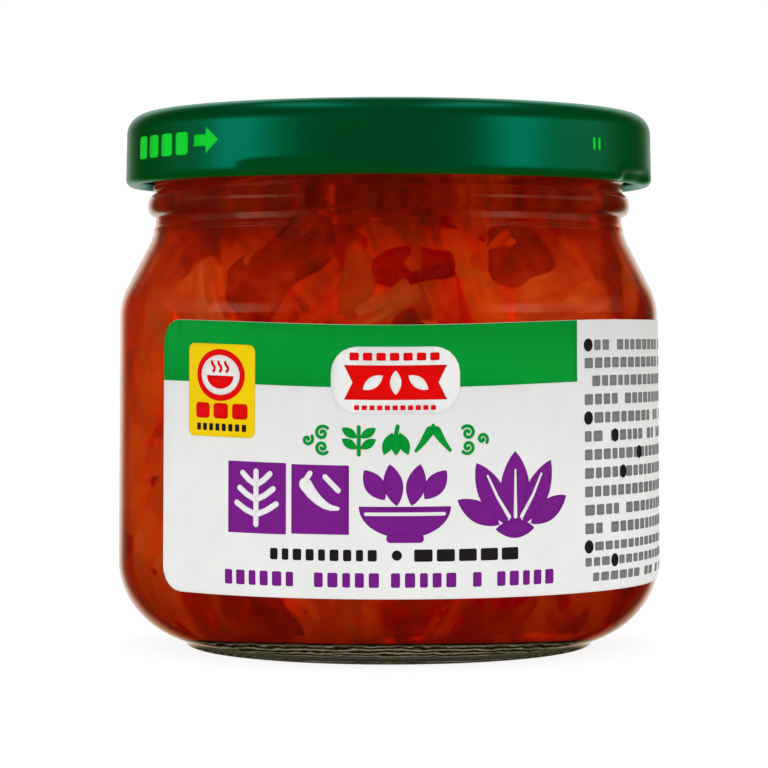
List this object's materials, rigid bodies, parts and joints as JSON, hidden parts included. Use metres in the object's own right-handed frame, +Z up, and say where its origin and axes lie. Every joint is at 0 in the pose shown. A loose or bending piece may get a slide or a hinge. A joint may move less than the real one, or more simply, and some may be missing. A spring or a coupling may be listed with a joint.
{
  "type": "kimchi jar",
  "caption": "Squat clear glass jar of sliced red kimchi with a green twist-off metal lid and a white wrap label with a green band and purple vegetable motifs.",
  "frame": {"origin": "centre of the foot ring, on the surface that the jar stands on", "axes": "+Z up along the jar's axis, -Y out through the middle of the label's front, +X to the right seen from the front"},
  "size_m": [0.0755, 0.0758, 0.0735],
  "materials": {
    "clear_glass": "smooth, clear",
    "kimchi": "wet",
    "label_paper": "satin print",
    "green_lacquer": "gloss lacquer"
  },
  "bodies": {
    "root": {"glass_jar": "clear_glass", "kimchi": "kimchi", "label": "label_paper", "lid": "green_lacquer"}
  },
  "joints": []
}
